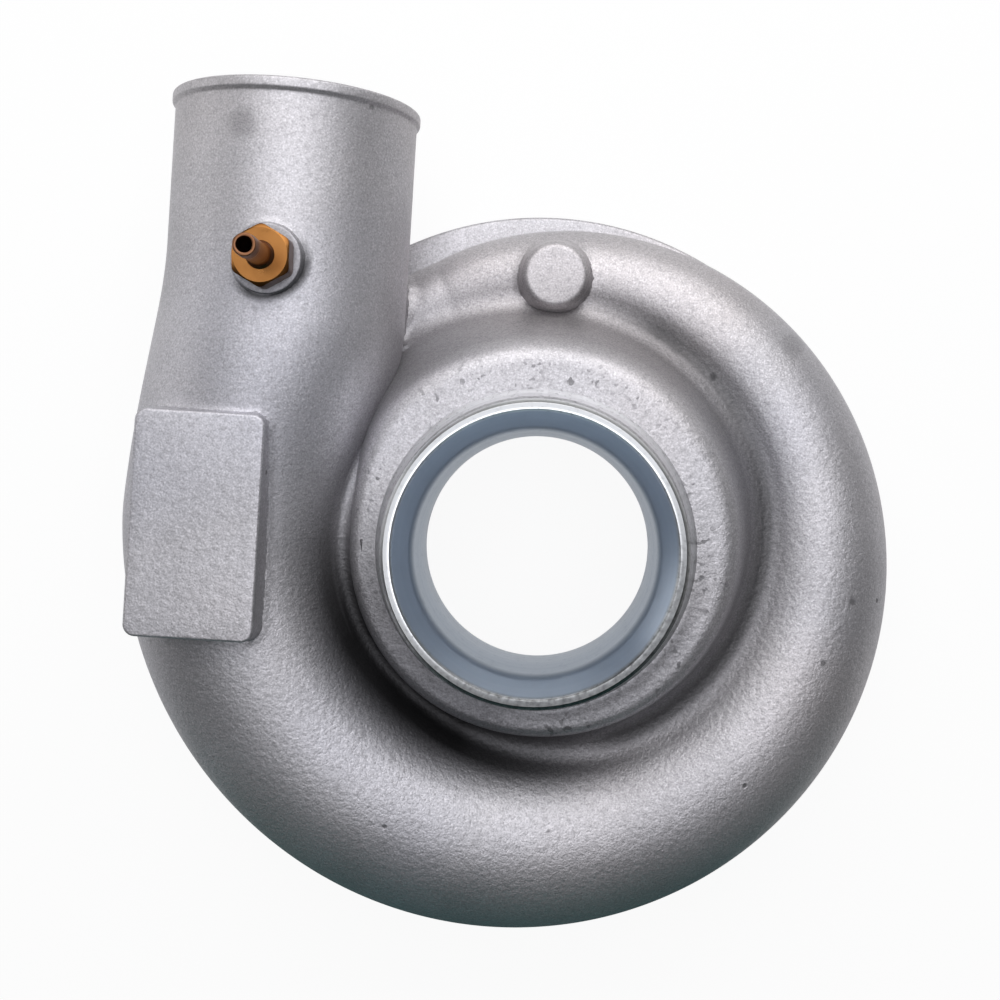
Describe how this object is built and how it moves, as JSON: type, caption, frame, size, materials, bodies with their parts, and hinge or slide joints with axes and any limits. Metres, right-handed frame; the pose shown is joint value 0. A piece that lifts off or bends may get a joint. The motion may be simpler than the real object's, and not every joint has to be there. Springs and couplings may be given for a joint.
{
  "type": "turbo compressor housing",
  "caption": "Cast compressor housing: a scroll that grows around a bored inlet and leaves as a straight beaded outlet pipe, with a pad, a round boss and a brass hose nipple.",
  "frame": {"origin": "centre of the rear register bore, in the plane of the back face", "axes": "+Z along the bore axis towards the inlet lip; +Y along the outlet pipe towards its open end; the pipe lies on the -X side"},
  "size_m": [0.1888, 0.1982, 0.0885],
  "materials": {
    "cast_aluminium": "as-cast grain, machined at the inlet and the back",
    "brass": "bare turned brass"
  },
  "bodies": {
    "root": {"compressor_housing": "cast_aluminium", "hose_nipple": "brass"}
  },
  "joints": []
}
